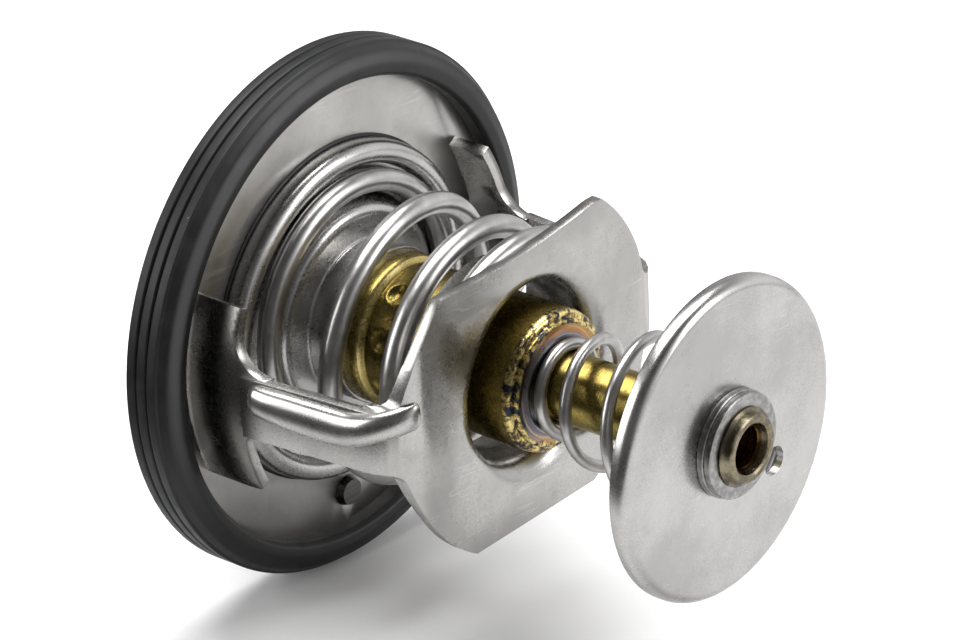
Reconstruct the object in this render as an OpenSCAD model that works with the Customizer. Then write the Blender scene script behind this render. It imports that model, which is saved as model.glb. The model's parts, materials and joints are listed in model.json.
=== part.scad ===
// Wax-element engine thermostat with a bypass valve.
// The valve axis is +X, from the outlet side through the flange to the bypass side.
// The origin lies on that axis, in the middle of the flange and of its seal.

/* [Seal and flange] */
// Outside radius of the rubber seal over its ribs
seal_r = 33.5; // [31.5:0.5:36]
// Distance between the two clamping faces of the seal
seal_width = 7; // [6:0.5:9]
// Length of the ribbed outside of the seal
rib_band = 5; // [4:0.5:6]
// Depth of the grooves between the ribs
rib_depth = 0.6; // [0.3:0.1:0.9]
// Rubber between the flange rim and the ribs
seal_wall = 1.5; // [1.2:0.1:3]
// How far the seal reaches in over the flange
seal_lip = 2.1; // [1.5:0.1:3]
// Thickness of the flange plate
plate_t = 1.5; // [1.2:0.1:2]
// Radius of the valve opening in the flange
opening_r = 17.9; // [16.5:0.1:19]
// Depth of the collar drawn around the opening
opening_depth = 3.2; // [2:0.1:5]

/* [Frames] */
// Sheet thickness of both frames
frame_t = 1.4; // [1:0.1:1.8]
// Turn of the frames about the valve axis
frame_clock = 3.5; // [0:0.5:12]
// Gap between the seal lip and the feet of the lower frame
foot_gap = 2.3; // [1.5:0.1:4]
// Half of the angle that each foot wall spans
foot_angle = 26; // [20:1:32]
// Height of the foot walls above the flange
foot_height = 7; // [5:0.5:9]
// Angle that the far foot wall spans above its leg
far_foot_angle = 31; // [24:1:34]
// Height of the far foot wall above its leg
far_foot_height = 5.4; // [4.5:0.1:7]
// Height of the near foot wall below its leg
near_foot_height = 8.4; // [6:0.1:9]
// Width of the legs of the lower frame
leg_width = 7.8; // [7:0.2:10]
// How far the legs stand above the middle of the strip
leg_shift = 0.5; // [0:0.1:1]
// How far the legs lean in over their length
leg_lean = 2.2; // [0:0.1:3.5]
// Outside radius of the rib pressed into each leg
leg_rib_r = 2.6; // [2.2:0.1:3]
// How far the rib of the near leg stands above the middle of the strip
rib_shift = 1.3; // [0:0.1:1.6]
// Distance from the flange to the outside of the bridge plate
bridge_height = 31.25; // [29:0.25:35]
// Width of the bridge plate between its sheared edges
bridge_width = 36.4; // [33:0.2:39]
// Radius of the bends between the legs and the bridge plate
bridge_bend = 5.3; // [4:0.1:6]
// Depth of the collar drawn into the bridge plate
bridge_collar = 9.4; // [7:0.2:11]
// Distance from the flange to the outside of the upper crown
crown_height = 17.5; // [15:0.5:22]
// Width of the upper frame
crown_width = 13; // [11:0.5:16]
// Half of the length of the flat crown
crown_reach = 9; // [8:0.5:12]

/* [Main valve] */
// Sheet thickness of the valve disc
disc_t = 1; // [0.8:0.1:1.2]
// Radius of the rolled rim, measured across the roll
rim_roll = 1.45; // [1.3:0.05:1.6]
// Height of the raised middle of the disc above the flange
dome_height = 3.9; // [3.4:0.1:5]
// Travel of the valve from closed to fully open
valve_lift = 8; // [6:0.5:10]
// Wire of the main spring
spring_wire = 2.9; // [2.4:0.1:3.1]
// Turns over which the main spring climbs
spring_turns = 3.05; // [2.7:0.05:3.6]
// How far the middle coils of the main spring lean towards the bridge plate at the top
spring_lean = 1.9; // [0:0.1:2.4]
// How far the middle coils of the main spring sag
spring_sag = 0.9; // [0:0.1:1.2]
// Narrowing of the main spring towards the bridge plate
spring_taper = 0.8; // [0:0.1:1.4]

/* [Wax element] */
// Outside radius of the wax case
case_r = 8.8; // [8.4:0.1:10]
// Wall of the wax case
case_wall = 1; // [0.8:0.1:1.3]
// Length of the wax case behind its rolled lip
case_length = 25.4; // [24:0.2:28]
// Dents that crimp the case to the guide
dent_count = 9; // [7:1:12]
// Radius of the piston
piston_r = 3; // [2.4:0.1:3.4]
// Length of the piston inside the case
piston_reach = 12.7; // [11:0.1:15]

/* [Bypass valve] */
// Radius of the stem
stem_r = 4.25; // [3.8:0.05:4.6]
// Length of the stem from the case to the washers
stem_length = 25.6; // [24:0.2:30]
// Outside radius of the bypass disc
bypass_r = 19.6; // [17:0.2:22]
// Depth of the turned-back rim of the bypass disc
bypass_rim = 2.3; // [1.6:0.1:3.5]
// Radius of the small hole in the bypass disc
bleed_r = 1.8; // [1:0.1:2.4]
// Radius of the two washers on the stem
washer_r = 6.4; // [5.8:0.1:7.5]
// Thickness of the two washers together
washer_stack = 1.8; // [1.2:0.1:2.4]
// Wire of the bypass spring
bypass_wire = 1.5; // [1.1:0.1:1.7]

/* [Vent] */
// Radius of the vent hole in the flange
vent_r = 1.5; // [1.2:0.1:2]
// Distance from the lip of the seal to the middle of the vent
vent_gap = 4.1; // [3.4:0.1:5]
// Length that the vent pin is free to move
vent_play = 1.4; // [0.8:0.1:2]

/* [Fits] */
// Gap around pieces that slide on each other
running_gap = 0.05; // [0.02:0.01:0.09]
// Gap around pieces that are pressed or clamped together
press_gap = 0.01; // [0.005:0.005:0.02]
// Gap between pieces that must never touch
free_gap = 0.3; // [0.2:0.05:0.5]

/* [Hidden] */
smooth = 96;
bend_steps = 6;
face_x = plate_t / 2;
// Seal and flange
flange_r = seal_r - rib_depth - seal_wall;
lip_r = flange_r - seal_lip;
opening_bend = 0.8;
vent_reach = lip_r - vent_gap;
vent_angle = -87;
// Lower frame, by its sheet middle where it says mid
foot_r = lip_r - foot_gap;
leg_mid = foot_r - frame_t / 2;
leg_top_mid = leg_mid - leg_lean;
bridge_x = face_x + bridge_height;
bridge_mid_x = bridge_x - frame_t / 2;
bridge_in_x = bridge_x - frame_t;
bridge_round = leg_top_mid - 1.9;
bridge_at = [-1.25, 0.9];
bridge_drop = 0.15;
bridge_dip = 1.7;
bridge_dip_r = 120;
bridge_dip_at = -8;
bridge_fillet = 2;
neck_fillet = 5;
far_fillet = 4;
near_fillet = 1.3;
foot_top_x = face_x + foot_height;
leg_ease = 30;
lean = leg_lean / (bridge_mid_x - foot_top_x);
rib_start_x = foot_top_x + 4.6;
bridge_hole_r = case_r + 2.3;
collar_round = 2.3;
tab_angle = 14;
tab_span = 9;
tab_fold = 2;
// Upper frame
crown_x = -face_x - crown_height;
crown_mid_x = crown_x + frame_t / 2;
crown_foot_x = -face_x - frame_t / 2;
cup_depth = 2.2;
cup_floor_x = crown_x - cup_depth + frame_t;
crown_foot_r = opening_r + plate_t + 2;
// Main valve, from the seat inwards
seat_r = opening_r + plate_t / 2 + opening_bend + press_gap;
seal_in_r = seat_r + 0.03;
rim_in_r = seal_in_r - press_gap - disc_t;
rim_out_r = rim_in_r + 2 * rim_roll;
rim_height = 2.95;
rim_top_x = face_x + rim_height;
trough_height = 1.4;
trough_x = face_x + trough_height;
coil_r = rim_in_r - free_gap - spring_wire / 2;
ridge_r = coil_r - spring_wire / 2 - 1.2;
dome_x = face_x + dome_height;
// Guide and case
neck_r = case_r;
collar_r = neck_r + press_gap + disc_t;
neck_height = 8.55;
collar_x = face_x + neck_height;
head_r = 11.3;
head_t = 1.5;
nose_r = 5.6;
nose_length = 7.5;
lip_x = collar_x;
lip_out_r = case_r + 0.7;
lip_length = 2.9;
case_x = lip_x + case_length;
case_in_r = case_r - case_wall;
dent_x = lip_x + 5.4;
dent_r = 2.2;
dent_depth = 0.55;
guide_depth = 7.2;
guide_x = lip_x + guide_depth;
sleeve_washer_t = 1.5;
washer_x = guide_x + sleeve_washer_t;
sleeve_flange_t = 2.2;
sleeve_x = washer_x + sleeve_flange_t;
sleeve_wall = 1.7;
wax_gap = 0.05;
sleeve_tail = 5;
sleeve_tip = 0.6;
sleeve_end_x = lip_x + piston_reach + sleeve_tail;
piston_x = lip_x + piston_reach;
end_ring_r = case_r - 0.9;
end_ring_t = 0.75;
// Stem, washers and bypass disc
socket_t = 1.5;
seat_x = case_x + end_ring_t;
shoulder_x = case_x + stem_length;
washer_end_x = shoulder_x + washer_stack;
bypass_t = 1;
bypass_x = shoulder_x - press_gap;
bypass_back_x = bypass_x - bypass_t;
bleed_reach = 10.2;
bleed_angle = -33;
bypass_hub = 2.6;
stake_length = 1.4;
stem_bore_depth = 13;
bore_r = stem_r - 1.65;
neck_out_r = stem_r - 1;
// Springs
coil_x = trough_x + spring_wire / 2;
coil_top_x = bridge_in_x - spring_wire / 2;
coil_start = 0.6;
coil_rest = 0.4;
coil_ease = 0.1;
small_coil_x = seat_x + bypass_wire / 2;
small_coil_r = stem_r + 0.1 + bypass_wire / 2;
wide_coil_x = bypass_back_x - bypass_wire / 2;
wide_coil_r = 12;
small_turns = 3.15;

function unit(v) = v / norm(v);

// Points of a rounded corner b between its neighbours a and c
function corner(a, b, c, r) =
    let (u = unit(a - b), v = unit(c - b), half = acos(u * v) / 2,
        m = b + unit(u + v) * r / sin(half), p = b + u * r / tan(half) - m, q = b + v * r / tan(half) - m,
        from = atan2(p.y, p.x), turn = atan2(p.x * q.y - p.y * q.x, p * q))
    [for (i = [0:bend_steps]) m + r * [cos(from + turn * i / bend_steps), sin(from + turn * i / bend_steps)]];

// A path of [x, y, radius] corners with its bends rounded
function bent(path) =
    let (last = len(path) - 1, flat = [for (p = path) [p.x, p.y]])
    [for (i = [0:last]) each i == 0 || i == last ? [flat[i]] : corner(flat[i - 1], flat[i], flat[i + 1], path[i].z)];

// A line moved sideways by d, its joints mitred
function beside(line, d) =
    let (last = len(line) - 1)
    [for (i = [0:last])
        let (u = unit(line[min(i + 1, last)] - line[min(i, last - 1)]), v = unit(line[max(i, 1)] - line[max(i - 1, 0)]),
            n = unit([-u.y - v.y, u.x + v.x]))
        line[i] + n * d / (n * [-u.y, u.x])];

// Climb of a coil, easing in and out over the share e of its length
function climb(u, e) = u <= 0 ? 0 : u >= 1 ? 1 : u < e ? u * u / (2 * e * (1 - e))
    : u > 1 - e ? 1 - (1 - u) * (1 - u) / (2 * e * (1 - e)) : (u - e / 2) / (1 - e);

function reversed(list) = [for (i = [len(list) - 1:-1:0]) list[i]];

// Outline of a sheet of thickness t whose middle follows the path
function sheet(path, t) = let (line = bent(path)) concat(beside(line, t / 2), reversed(beside(line, -t / 2)));

// Turns an outline of [radius, x] points about the valve axis
module turned(outline) {
    rotate([0, 90, 0]) rotate_extrude($fn = smooth) polygon(outline);
}

// A ring or disc between two radii and two places on the axis
module ring(inside, outside, from, to) {
    turned([[inside, from], [outside, from], [outside, to], [inside, to]]);
}

// A part of a turned outline, the given angle wide, centred on +Y
module turned_part(outline, angle) {
    rotate([90 - angle / 2, 0, 0]) rotate([0, 90, 0]) rotate_extrude(angle = angle, $fn = smooth) polygon(outline);
}

// The same thing on both sides of the valve axis
module both_sides() {
    children();
    rotate([180, 0, 0]) children();
}

// A wire swept along a coil; the place of its middle comes from a list of points
module wire(points, r, sides) {
    last = len(points) - 1;
    rings = [for (i = [0:last])
        let (t = unit(points[min(i + 1, last)] - points[max(i - 1, 0)]), side = unit(cross(t, [1, 0, 0])), up = cross(side, t))
        for (k = [0:sides - 1]) points[i] + r * (cos(360 * k / sides) * side + sin(360 * k / sides) * up)];
    walls = [for (i = [0:last - 1], k = [0:sides - 1])
        [i * sides + k, i * sides + (k + 1) % sides, (i + 1) * sides + (k + 1) % sides, (i + 1) * sides + k]];
    first_cap = [for (k = [sides - 1:-1:0]) k];
    last_cap = [for (k = [0:sides - 1]) last * sides + k];
    polyhedron(rings, concat(walls, [first_cap, last_cap]), convexity = 10);
}

module seal_ring() {
    half = seal_width / 2;
    band = rib_band / 2;
    rib = rib_band / 3;
    land = 0.6;
    ribs = [for (k = [-1, 0, 1], side = [-1, 1]) each side < 0
        ? [[seal_r - rib_depth, k * rib - rib / 2], [seal_r, k * rib - land / 2]]
        : [[seal_r, k * rib + land / 2]]];
    color("#2b2b2e") turned(concat(
        [[lip_r, -face_x], [lip_r, -half + 0.9], [lip_r + 0.9, -half], [lip_r + 2.6, -half]],
        ribs,
        [[seal_r - rib_depth, band], [lip_r + 2.6, half], [lip_r + 0.9, half], [lip_r, half - 0.9],
        [lip_r, face_x], [flange_r, face_x], [flange_r, -face_x]]));
}

module tab_slots() {
    both_sides() for (side = [-1, 1]) rotate([side * tab_angle, 0, 0])
        turned_part([[foot_r - frame_t - press_gap, -6], [foot_r + press_gap, -6], [foot_r + press_gap, 6],
            [foot_r - frame_t - press_gap, 6]], tab_span + 0.1);
}

module at_vent() {
    rotate([vent_angle, 0, 0]) translate([0, vent_reach, 0]) rotate([0, 90, 0]) children();
}

module flange_plate() {
    collar_mid = opening_r + plate_t / 2;
    color("#c2c0bd") difference() {
        turned(sheet([[flange_r, 0, 0], [collar_mid, 0, opening_bend], [collar_mid, -opening_depth, 0]], plate_t));
        rotate([frame_clock, 0, 0]) tab_slots();
        at_vent() cylinder(r = vent_r, h = 4 * plate_t, center = true, $fn = 48);
    }
}

module upper_frame() {
    foot_end = foot_r + 0.9;
    path = [[crown_foot_x, -foot_end, 0], [crown_foot_x, -crown_foot_r, 2], [crown_mid_x, -crown_reach, 3],
        [crown_mid_x, crown_reach, 3], [crown_foot_x, crown_foot_r, 2], [crown_foot_x, foot_end, 0]];
    cup_mid = piston_r + press_gap + frame_t / 2;
    color("#bdbbb8") rotate([frame_clock, 0, 0]) difference() {
        union() {
            linear_extrude(crown_width, center = true) polygon(sheet(path, frame_t));
            foot_ears();
            turned(sheet([[0, cup_floor_x - frame_t / 2, 0], [cup_mid, cup_floor_x - frame_t / 2, 0.9],
                [cup_mid, crown_mid_x, 0.9], [cup_mid + 3, crown_mid_x, 0]], frame_t));
        }
        tab_slots();
        rotate([0, 90, 0]) cylinder(r = piston_r + press_gap, h = 2 * (-cup_floor_x), center = true, $fn = smooth);
    }
}

// Wide ears on the feet of the upper frame, which the tabs clinch
module foot_ears() {
    both_sides() turned_part([[foot_r - 4.2, -face_x - frame_t], [foot_r + 0.9, -face_x - frame_t],
        [foot_r + 0.9, -face_x], [foot_r - 4.2, -face_x]], 2 * tab_angle + tab_span + 6);
}

// Outline of the bridge plate: a round blank with two sheared edges, the upper one a little hollow
module bridge_outline() {
    difference() {
        union() {
            intersection() {
                translate(bridge_at) circle(bridge_round, $fn = smooth);
                translate([-bridge_x, -bridge_drop - bridge_width / 2]) square([2 * bridge_x, bridge_width]);
            }
            for (out = [-1, 1], up = [-1, 1]) leg_fillet(out, up);
        }
        translate([bridge_dip_at, bridge_width / 2 - bridge_dip + bridge_dip_r]) circle(bridge_dip_r, $fn = 240);
    }
}

// Fillet between an edge of a leg and the round end of the bridge plate
module leg_fillet(out, up) {
    edge = leg_shift + up * leg_width / 2;
    z = edge + up * bridge_fillet;
    reach = bridge_round + bridge_fillet;
    y = bridge_at.x + out * sqrt(reach * reach - (z - bridge_at.y) * (z - bridge_at.y));
    touch = bridge_at + ([y, z] - bridge_at) * (bridge_round - 0.4) / reach;
    difference() {
        polygon([[y, z], [y, edge - up * 0.4], [touch.x - out * 0.6, edge - up * 0.4], touch]);
        translate([y, z]) circle(bridge_fillet, $fn = 48);
    }
}

// Half of a foot wall laid flat, on one side of its leg; size holds angle, height, fillet and edge of the leg
module foot_half(side, size) {
    wide = 2 * leg_mid;
    top = face_x + size[1];
    neck = size[3] + size[2];
    difference() {
        union() {
            translate([0, side < 0 ? -wide : 0]) square([top, wide]);
            translate([0, side < 0 ? -neck : 0]) square([top + size[2], neck]);
        }
        translate([top + size[2], side * neck]) circle(size[2], $fn = 48);
    }
}

// A curved foot wall at +Y with its fillets, and the tabs that hold it in the flange
module foot_wall(up, down) {
    inside = foot_r - frame_t;
    under = -face_x - frame_t - press_gap;
    top = foot_top_x + neck_fillet + 1;
    wall = [[leg_mid, face_x, 0], [leg_mid, foot_top_x, leg_ease], [leg_mid - (top - foot_top_x) * lean - 0.15, top, 0]];
    intersection() {
        rotate([(up[0] - down[0]) / 2, 0, 0]) turned_part(sheet(wall, frame_t), up[0] + down[0]);
        rotate([-90, 0, 0]) linear_extrude(4 * leg_mid) union() {
            foot_half(-1, up);
            foot_half(1, down);
        }
    }
    for (side = [-1, 1]) rotate([side * tab_angle, 0, 0])
        turned_part([[inside + press_gap, face_x + 0.5], [foot_r - press_gap, face_x + 0.5],
            [foot_r - press_gap, under - frame_t], [inside - tab_fold, under - frame_t], [inside - tab_fold, under],
            [inside + press_gap, under]], tab_span);
}

// A rod with round ends along the leaning near leg, for its rib and for the hollow behind it
module leg_rod(r, to) {
    length = (to - rib_start_x) / cos(atan(lean));
    round_end = [for (i = [0:8]) [r * sin(i * 11.25), -r * cos(i * 11.25)]];
    outline = concat(round_end, [for (p = reversed(round_end)) [p.x, length - p.y]]);
    translate([rib_start_x, -leg_mid + (rib_start_x - foot_top_x) * lean, rib_shift]) rotate([0, 0, atan(lean)])
        rotate([0, 90, 0]) rotate_extrude($fn = 48) polygon(outline);
}

// The strip that makes both legs and the bridge plate, before its hole is drawn
module bridge_strip(path) {
    blank = 2 * bridge_round + 2;
    intersection() {
        linear_extrude(blank, center = true) polygon(sheet(path, frame_t));
        union() {
            translate([foot_top_x + 1.5, -blank, leg_shift - leg_width / 2]) cube([bridge_x, 2 * blank, leg_width]);
            translate([bridge_mid_x - bridge_bend, 0, 0]) rotate([90, 0, 90]) linear_extrude(2 * bridge_bend) bridge_outline();
        }
    }
}

module lower_frame() {
    collar_mid = bridge_hole_r + frame_t / 2;
    path = [[face_x, -leg_mid, 0], [foot_top_x, -leg_mid, leg_ease], [bridge_mid_x, -leg_top_mid, bridge_bend],
        [bridge_mid_x, leg_top_mid, bridge_bend], [foot_top_x, leg_mid, leg_ease], [face_x, leg_mid, 0]];
    low = leg_width / 2 - leg_shift;
    high = leg_width / 2 + leg_shift;
    plain = [foot_angle, foot_height, neck_fillet];
    color("#c9c7c4") rotate([frame_clock, 0, 0]) difference() {
        union() {
            difference() {
                bridge_strip(path);
                rotate([0, 90, 0]) cylinder(r = collar_mid + collar_round, h = 2 * bridge_x, $fn = smooth);
            }
            foot_wall([far_foot_angle, far_foot_height, far_fillet, high], concat(plain, [low]));
            rotate([180, 0, 0]) foot_wall([foot_angle, near_foot_height, near_fillet, low], concat(plain, [high]));
            difference() {
                both_sides() leg_rod(leg_rib_r, bridge_x - leg_rib_r);
                linear_extrude(4 * leg_width, center = true) polygon(bent(path));
            }
            turned(sheet([[collar_mid + collar_round + 1, bridge_mid_x, 0], [collar_mid, bridge_mid_x, collar_round],
                [collar_mid, bridge_x - bridge_collar, 0]], frame_t));
        }
        both_sides() leg_rod(leg_rib_r - frame_t + 0.1, bridge_mid_x - bridge_bend);
    }
}

module piston() {
    tip = 0.8;
    color("#8f9196") turned([[0, cup_floor_x], [piston_r - tip, cup_floor_x], [piston_r, cup_floor_x + tip],
        [piston_r, piston_x - tip], [piston_r - tip, piston_x], [0, piston_x]]);
}

module main_spring() {
    step = 1 / 40;
    end = coil_start + 2 * coil_rest + spring_turns;
    points = [for (t = [coil_start:step:end])
        let (s = climb((t - coil_start - coil_rest) / spring_turns, coil_ease), free = sin(180 * s) * sin(180 * s),
            r = coil_r - spring_taper * t / end, a = 90 + 360 * t)
        [coil_x + (coil_top_x - coil_x) * s + spring_lean * free * sin(a), r * cos(a), r * sin(a) - spring_sag * free]];
    color("#b9b9ba") wire(points, spring_wire / 2, 10);
}

module valve_disc() {
    rim_mid = rim_roll - disc_t / 2;
    top = rim_top_x - disc_t / 2;
    path = [[rim_out_r - disc_t / 2, face_x + free_gap, 0], [rim_out_r - disc_t / 2, top, rim_mid - 0.01],
        [rim_in_r + disc_t / 2, top, rim_mid - 0.01], [rim_in_r + disc_t / 2, trough_x - disc_t / 2, 0.55],
        [ridge_r + 0.4, trough_x - disc_t / 2, 0.8], [ridge_r - 0.9, dome_x - disc_t / 2, 1.3],
        [collar_r - disc_t / 2, dome_x - disc_t / 2, 0.8], [collar_r - disc_t / 2, collar_x, 0]];
    color("#c6c6c8") turned(sheet(path, disc_t));
}

module valve_seal() {
    outside = rim_out_r - disc_t - press_gap;
    under = face_x + 0.02;
    color("#1f1f22") turned([[seal_in_r, under], [rim_out_r + 0.35, under], [rim_out_r + 0.35, under + 0.12],
        [rim_out_r + 0.1, face_x + free_gap - press_gap], [outside, face_x + free_gap - press_gap],
        [outside, rim_top_x - rim_roll], [seal_in_r, rim_top_x - rim_roll]]);
}

module element_guide() {
    head_x = dome_x - disc_t - press_gap;
    guide_in = case_in_r - press_gap;
    bore = piston_r + running_gap;
    color("#b79a3f") difference() {
        turned([[bore, head_x - head_t - nose_length], [nose_r - 0.8, head_x - head_t - nose_length],
            [nose_r, head_x - head_t - nose_length + 0.8], [nose_r, head_x - head_t], [head_r, head_x - head_t],
            [head_r, head_x], [neck_r, head_x], [neck_r, lip_x], [guide_in, lip_x], [guide_in, guide_x], [bore, guide_x]]);
        dents(dent_depth + press_gap);
    }
}

// A row of crimp dents round the case, sunk by the given depth
module dents(depth) {
    for (k = [0:dent_count - 1]) rotate([k * 360 / dent_count + 4, 0, 0])
        translate([dent_x, 0, case_r + dent_r - depth]) sphere(dent_r, $fn = 32);
}

module wax_case() {
    under = case_x - socket_t;
    color("#b1943a") difference() {
        turned([[case_in_r, lip_x], [lip_out_r - 0.5, lip_x], [lip_out_r, lip_x + 0.5], [lip_out_r, lip_x + lip_length - 0.6],
            [lip_out_r - 0.4, lip_x + lip_length], [case_r, lip_x + lip_length + 0.5], [case_r, case_x - 0.9],
            [case_r - 0.3, case_x - 0.3], [case_r - 0.9, case_x], [stem_r + press_gap, case_x], [stem_r + press_gap, under],
            [case_in_r, under]]);
        dents(dent_depth);
    }
}

module wax_charge() {
    color("#d8d2b0") ring(piston_r + sleeve_wall + wax_gap, case_in_r - wax_gap, sleeve_x + wax_gap, sleeve_end_x);
}

module rubber_sleeve() {
    bore = piston_r + running_gap;
    color("#333336") turned([[bore, washer_x], [case_in_r - wax_gap, washer_x], [case_in_r - wax_gap, sleeve_x],
        [piston_r + sleeve_wall, sleeve_x], [piston_r + sleeve_wall, sleeve_end_x], [0, sleeve_end_x], [0, piston_x + sleeve_tip], [bore, piston_x + sleeve_tip]]);
}

module sleeve_washer() {
    color("#e6e4dc") ring(piston_r + running_gap, case_in_r - wax_gap, guide_x, washer_x);
}

module end_ring() {
    bore = stem_r + press_gap;
    color("#7d7f8c") turned([[bore, case_x], [end_ring_r, case_x], [end_ring_r - 0.1, case_x + 0.35],
        [end_ring_r - 0.5, case_x + 0.5], [end_ring_r - 1.1, case_x + 0.25], [end_ring_r - 1.7, seat_x - 0.1],
        [end_ring_r - 2, seat_x], [bore, seat_x]]);
}

module stem_tube() {
    root_x = case_x - socket_t;
    end_x = washer_end_x + stake_length;
    blind_x = end_x - stem_bore_depth;
    color("#ad9140") turned([[0, root_x - 1.1], [stem_r + 1.2, root_x - 1.1], [stem_r + 1.2, root_x - press_gap],
        [stem_r, root_x - press_gap], [stem_r, shoulder_x], [neck_out_r, shoulder_x], [neck_out_r, washer_end_x],
        [neck_out_r + 1.9, washer_end_x], [neck_out_r + 1.7, washer_end_x + 0.5], [stem_r - 0.1, end_x - 0.1],
        [stem_r - 0.4, end_x], [bore_r + 0.4, end_x], [bore_r, end_x - 0.5], [bore_r, blind_x], [0, blind_x - 1.2]]);
}

// A flat washer with broken edges, between two places on the stem
module washer(from, to, outside) {
    edge = 0.2;
    turned([[neck_out_r + press_gap, from], [outside - edge, from], [outside, from + edge], [outside, to - edge],
        [outside - edge, to], [neck_out_r + press_gap, to]]);
}

module rear_washer() {
    color("#6f7076") washer(shoulder_x, shoulder_x + washer_stack / 2, washer_r + 0.15);
}

module front_washer() {
    color("#8e8e92") washer(shoulder_x + washer_stack / 2, washer_end_x, washer_r);
}

module bypass_disc() {
    hub_mid = stem_r + running_gap + bypass_t / 2;
    top = bypass_x - bypass_t / 2;
    path = [[bypass_r - bypass_t / 2, bypass_x - bypass_rim, 0], [bypass_r - bypass_t / 2, top, 0.9],
        [hub_mid, top, 0.7], [hub_mid, bypass_x - bypass_hub, 0]];
    color("#cbc9c6") difference() {
        turned(sheet(path, bypass_t));
        rotate([bleed_angle, 0, 0]) translate([bypass_x, bleed_reach, 0]) rotate([0, 90, 0])
            cylinder(r = bleed_r, h = 4 * bypass_t, center = true, $fn = 48);
    }
}

module bypass_spring() {
    step = 1 / 36;
    lead = 0.6;
    points = [for (t = [-lead:step:small_turns + 0.6])
        let (s = min(max(t / small_turns, 0), 1), r = small_coil_r + (wide_coil_r - small_coil_r) * pow(s, 1.2), a = 90 + 360 * t)
        [small_coil_x + (wide_coil_x - small_coil_x) * pow(s, 1.45), r * cos(a), r * sin(a)]];
    color("#b4b4b6") wire(points, bypass_wire / 2, 8);
}

module vent_pin() {
    shank = vent_r - 0.35;
    head = vent_r + 0.5;
    ball = vent_r + 0.8;
    ball_x = -face_x - vent_play - sqrt(ball * ball - vent_r * vent_r) - free_gap;
    color("#a7a39a") at_vent() union() {
        translate([0, 0, ball_x]) cylinder(r = shank, h = face_x + 0.5 - ball_x, $fn = 32);
        translate([0, 0, face_x + running_gap]) cylinder(r1 = head, r2 = head - 0.35, h = 0.9, $fn = 48);
        translate([0, 0, ball_x]) sphere(ball, $fn = 48);
    }
}

seal_ring();
flange_plate();
upper_frame();
lower_frame();
piston();
main_spring();
valve_disc();
valve_seal();
element_guide();
wax_case();
wax_charge();
rubber_sleeve();
sleeve_washer();
end_ring();
stem_tube();
rear_washer();
front_washer();
bypass_disc();
bypass_spring();
vent_pin();
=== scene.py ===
import json
import math

import bmesh
import bpy
from mathutils import Matrix, Vector

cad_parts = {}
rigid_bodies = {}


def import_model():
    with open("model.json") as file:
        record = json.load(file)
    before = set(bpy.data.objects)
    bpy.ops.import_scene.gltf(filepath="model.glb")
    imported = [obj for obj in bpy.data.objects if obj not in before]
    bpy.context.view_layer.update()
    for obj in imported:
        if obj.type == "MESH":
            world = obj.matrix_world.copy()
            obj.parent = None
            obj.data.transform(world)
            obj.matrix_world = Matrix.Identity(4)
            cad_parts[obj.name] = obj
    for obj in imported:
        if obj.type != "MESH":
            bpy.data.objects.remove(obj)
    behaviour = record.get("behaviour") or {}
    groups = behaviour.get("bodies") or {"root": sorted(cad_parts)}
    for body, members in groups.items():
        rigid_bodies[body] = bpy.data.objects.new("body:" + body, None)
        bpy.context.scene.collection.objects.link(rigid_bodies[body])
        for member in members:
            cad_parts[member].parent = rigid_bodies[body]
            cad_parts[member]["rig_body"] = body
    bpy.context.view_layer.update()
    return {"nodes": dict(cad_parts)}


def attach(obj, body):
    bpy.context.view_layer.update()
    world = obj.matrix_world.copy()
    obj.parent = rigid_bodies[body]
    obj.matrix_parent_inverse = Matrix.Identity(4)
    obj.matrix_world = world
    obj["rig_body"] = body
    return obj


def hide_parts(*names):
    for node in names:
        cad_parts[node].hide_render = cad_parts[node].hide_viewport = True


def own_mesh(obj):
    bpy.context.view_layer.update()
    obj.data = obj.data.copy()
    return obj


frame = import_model()
nodes = frame["nodes"]

MM = 0.001
FULL_TURN = 2 * math.pi

# Places of the outputs that are used on nodes with several of them
OBJECT_PLACE = 3
CAMERA_RAY, GLOSSY_RAY, TRANSMISSION_RAY = 0, 3, 6


# Sums on node sockets

class Wire:
    """An output socket that can be used in sums."""

    def __init__(self, bench, socket):
        self.bench = bench
        self.socket = socket

    def sum(self, operation, *others):
        values = {i: v for i, v in enumerate((self,) + others)}
        return self.bench.add("ShaderNodeMath", {"operation": operation}, values)

    def swapped(self, operation, other):
        return self.bench.add("ShaderNodeMath", {"operation": operation}, {0: other, 1: self})

    def __add__(self, other):
        return self.sum("ADD", other)

    __radd__ = __add__

    def __sub__(self, other):
        return self.sum("SUBTRACT", other)

    def __rsub__(self, other):
        return self.swapped("SUBTRACT", other)

    def __mul__(self, other):
        return self.sum("MULTIPLY", other)

    __rmul__ = __mul__

    def __truediv__(self, other):
        return self.sum("DIVIDE", other)

    def __rtruediv__(self, other):
        return self.swapped("DIVIDE", other)

    def __pow__(self, other):
        return self.sum("POWER", other)

    def least(self, other):
        return self.sum("MINIMUM", other)

    def most(self, other):
        return self.sum("MAXIMUM", other)

    def between(self, low, high):
        """0 below low and 1 above high, with a soft step in between."""
        settings = {"interpolation_type": "SMOOTHSTEP", "clamp": True}
        values = {0: self, 1: low, 2: high, 3: 0.0, 4: 1.0}
        return self.bench.add("ShaderNodeMapRange", settings, values)

    def near(self, place, reach):
        """1 at a place, falling to 0 a reach away on both sides."""
        return 1 - (self - place).sum("ABSOLUTE").between(0.0, reach)


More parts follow.
